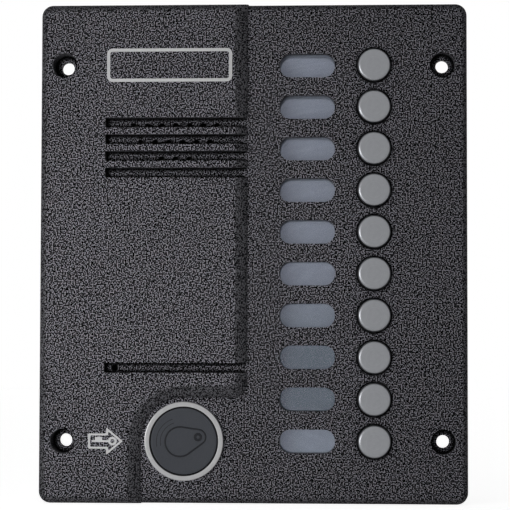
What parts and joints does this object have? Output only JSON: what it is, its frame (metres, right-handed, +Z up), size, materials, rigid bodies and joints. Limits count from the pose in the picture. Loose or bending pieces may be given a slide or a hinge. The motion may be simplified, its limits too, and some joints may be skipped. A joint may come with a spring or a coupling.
{
  "type": "door intercom",
  "caption": "Wall-mounted door intercom: a stepped cast panel with a column of sprung call buttons, name windows, speaker slots and a key-fob reader, on a flush rear box.",
  "frame": {"origin": "centre of the rectangle of wall screw holes, on the panel's back face, which is the wall plane", "axes": "+Z up the panel, +X to the right as seen from the front, -Y out of the wall towards the user"},
  "size_m": [0.13, 0.0369, 0.152],
  "materials": {
    "hammer_paint": "dark hammered powder paint on a zinc casting",
    "sign_silver": "thin bright sign, satin",
    "button_nickel": "satin nickel",
    "spring_steel": "drawn spring wire",
    "clear_plastic": "clear, slightly grey",
    "card": "grey-blue printed card",
    "reader_nickel": "turned, satin nickel",
    "reader_black": "moulded, fine satin",
    "box_plastic": "moulded dark grey",
    "seal_rubber": "soft black rubber",
    "screw_steel": "zinc-plated steel",
    "board_green": "green solder mask on glass-fibre board",
    "component_black": "moulded black",
    "led_lens": "pale yellow lens",
    "brass": "turned brass",
    "relay_blue": "blue moulded cover",
    "capacitor_sleeve": "dark blue shrink sleeve on an aluminium can",
    "terminal_green": "moulded green",
    "ribbon_grey": "grey flat cable",
    "speaker_steel": "pressed plated steel",
    "magnet_ferrite": "grey ferrite between plated plates",
    "cone_paper": "black felted paper",
    "capsule_metal": "drawn aluminium can",
    "coil_copper": "lacquered copper wire",
    "lead_red": "insulated hook-up wire"
  },
  "bodies": {
    "panel": {"front_panel": "hammer_paint", "nameplate_frame": "sign_silver", "key_arrow_sign": "sign_silver", "button_spring_01": "spring_steel", "button_spring_02": "spring_steel", "button_spring_03": "spring_steel", "button_spring_04": "spring_steel", "button_spring_05": "spring_steel", "button_spring_06": "spring_steel", "button_spring_07": "spring_steel", "button_spring_08": "spring_steel", "button_spring_09": "spring_steel", "button_spring_10": "spring_steel", "label_window_strip": "clear_plastic", "name_card": "card", "reader_ring": "reader_nickel", "reader_pad": "reader_black", "rear_box": "box_plastic", "wall_seal": "seal_rubber", "box_seal": "seal_rubber", "speaker_gasket": "seal_rubber", "microphone_boot": "seal_rubber", "cable_grommet": "seal_rubber", "box_screws": "screw_steel", "keypad_screws": "screw_steel", "board_screws": "screw_steel", "speaker_screws": "screw_steel", "terminal_screws": "screw_steel", "speaker_clamps": "screw_steel", "keypad_board": "board_green", "main_board": "board_green", "call_switches": "component_black", "ribbon_headers": "component_black", "controller_chip": "component_black", "backlight_leds": "led_lens", "board_standoffs": "brass", "reader_nut": "brass", "lock_relay": "relay_blue", "smoothing_capacitors": "capacitor_sleeve", "terminal_block": "terminal_green", "ribbon_cable": "ribbon_grey", "speaker_basket": "speaker_steel", "speaker_magnet": "magnet_ferrite", "speaker_cone": "cone_paper", "microphone_capsule": "capsule_metal", "reader_coil": "coil_copper", "speaker_leads": "lead_red", "microphone_leads": "lead_red", "reader_leads": "lead_red"},
    "call_button_01": {"call_button_01": "button_nickel"},
    "call_button_02": {"call_button_02": "button_nickel"},
    "call_button_03": {"call_button_03": "button_nickel"},
    "call_button_04": {"call_button_04": "button_nickel"},
    "call_button_05": {"call_button_05": "button_nickel"},
    "call_button_06": {"call_button_06": "button_nickel"},
    "call_button_07": {"call_button_07": "button_nickel"},
    "call_button_08": {"call_button_08": "button_nickel"},
    "call_button_09": {"call_button_09": "button_nickel"},
    "call_button_10": {"call_button_10": "button_nickel"}
  },
  "joints": [
    {"name": "call_button_01_press", "type": "slide", "parent": "panel", "child": "call_button_01", "axis": [0, 1, 0], "range_m": [0, 0.001], "stiffness_N_per_m": 600, "springref_m": -0.002, "deforming": ["button_spring_01"]},
    {"name": "call_button_02_press", "type": "slide", "parent": "panel", "child": "call_button_02", "axis": [0, 1, 0], "range_m": [0, 0.001], "stiffness_N_per_m": 600, "springref_m": -0.002, "deforming": ["button_spring_02"]},
    {"name": "call_button_03_press", "type": "slide", "parent": "panel", "child": "call_button_03", "axis": [0, 1, 0], "range_m": [0, 0.001], "stiffness_N_per_m": 600, "springref_m": -0.002, "deforming": ["button_spring_03"]},
    {"name": "call_button_04_press", "type": "slide", "parent": "panel", "child": "call_button_04", "axis": [0, 1, 0], "range_m": [0, 0.001], "stiffness_N_per_m": 600, "springref_m": -0.002, "deforming": ["button_spring_04"]},
    {"name": "call_button_05_press", "type": "slide", "parent": "panel", "child": "call_button_05", "axis": [0, 1, 0], "range_m": [0, 0.001], "stiffness_N_per_m": 600, "springref_m": -0.002, "deforming": ["button_spring_05"]},
    {"name": "call_button_06_press", "type": "slide", "parent": "panel", "child": "call_button_06", "axis": [0, 1, 0], "range_m": [0, 0.001], "stiffness_N_per_m": 600, "springref_m": -0.002, "deforming": ["button_spring_06"]},
    {"name": "call_button_07_press", "type": "slide", "parent": "panel", "child": "call_button_07", "axis": [0, 1, 0], "range_m": [0, 0.001], "stiffness_N_per_m": 600, "springref_m": -0.002, "deforming": ["button_spring_07"]},
    {"name": "call_button_08_press", "type": "slide", "parent": "panel", "child": "call_button_08", "axis": [0, 1, 0], "range_m": [0, 0.001], "stiffness_N_per_m": 600, "springref_m": -0.002, "deforming": ["button_spring_08"]},
    {"name": "call_button_09_press", "type": "slide", "parent": "panel", "child": "call_button_09", "axis": [0, 1, 0], "range_m": [0, 0.001], "stiffness_N_per_m": 600, "springref_m": -0.002, "deforming": ["button_spring_09"]},
    {"name": "call_button_10_press", "type": "slide", "parent": "panel", "child": "call_button_10", "axis": [0, 1, 0], "range_m": [0, 0.001], "stiffness_N_per_m": 600, "springref_m": -0.002, "deforming": ["button_spring_10"]}
  ]
}
